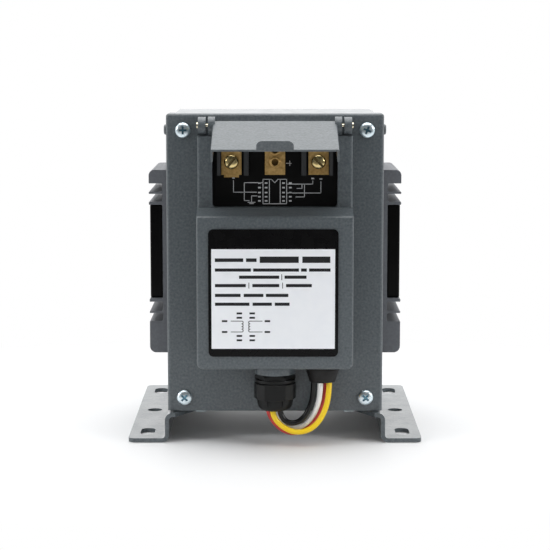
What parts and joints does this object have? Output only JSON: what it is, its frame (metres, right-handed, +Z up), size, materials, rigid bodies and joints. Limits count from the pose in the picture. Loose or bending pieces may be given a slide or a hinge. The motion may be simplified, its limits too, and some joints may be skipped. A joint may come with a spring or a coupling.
{
  "type": "voltage transformer",
  "caption": "Potted transformer in a folded steel case on Z-shaped feet, with side heat sinks, a wiring box with gland and leads, and terminals under a hinged flap.",
  "frame": {"origin": "on the mounting plane, midway between the two round holes of the feet", "axes": "+X to the right of someone facing the terminals, +Y to the rear, +Z up"},
  "size_m": [0.1436, 0.1775, 0.1602],
  "materials": {
    "case_paint": "satin grey paint",
    "sink_paint": "satin grey paint on extruded aluminium",
    "zinc_steel": "zinc plated",
    "brass": "bare machined brass",
    "label": "printed white field between black bands",
    "block_moulding": "semi-gloss black moulding",
    "gland_nylon": "black nylon",
    "black_rubber": "matt black",
    "potting_resin": "gloss black resin",
    "core_steel": "stacked sheet edges",
    "bobbin_plastic": "glass-filled nylon",
    "copper_wire": "enamelled copper",
    "insulation_paper": "kraft paper",
    "lead_black": "smooth black sheath",
    "lead_white": "smooth white sheath",
    "lead_red": "smooth red sheath",
    "lead_yellow": "smooth yellow sheath"
  },
  "bodies": {
    "case": {"case_wrapper": "case_paint", "front_cover": "case_paint", "rear_cover": "case_paint", "terminal_housing": "case_paint", "hinge_lugs": "case_paint", "foot_left": "case_paint", "foot_right": "case_paint", "heat_sink_left": "sink_paint", "heat_sink_right": "sink_paint", "cover_screws": "zinc_steel", "side_screws": "zinc_steel", "sink_screws": "zinc_steel", "foot_bolts": "zinc_steel", "foot_nuts": "zinc_steel", "terminal_bar_left": "brass", "terminal_bar_middle": "brass", "terminal_bar_right": "brass", "terminal_screws": "brass", "hinge_pins": "brass", "label_plate": "label", "terminal_block": "block_moulding", "gland_body": "gland_nylon", "gland_nut": "gland_nylon", "gland_locknut": "gland_nylon", "gland_seal": "black_rubber", "wire_grommet": "black_rubber", "potting": "potting_resin", "core_e_stack": "core_steel", "core_i_stack": "core_steel", "coil_bobbin": "bobbin_plastic", "primary_lower": "copper_wire", "primary_upper": "copper_wire", "secondary_lower": "copper_wire", "secondary_upper": "copper_wire", "wrap_lower": "insulation_paper", "wrap_upper": "insulation_paper", "lead_black": "lead_black", "lead_white": "lead_white", "lead_red": "lead_red", "lead_yellow": "lead_yellow"},
    "flap": {"terminal_flap": "case_paint"}
  },
  "joints": [
    {"name": "flap_hinge", "type": "hinge", "parent": "case", "child": "flap", "pos_m": [0, -0.0715, 0.1547], "axis": [1, 0, 0], "range_deg": [-90, 72.1]}
  ]
}
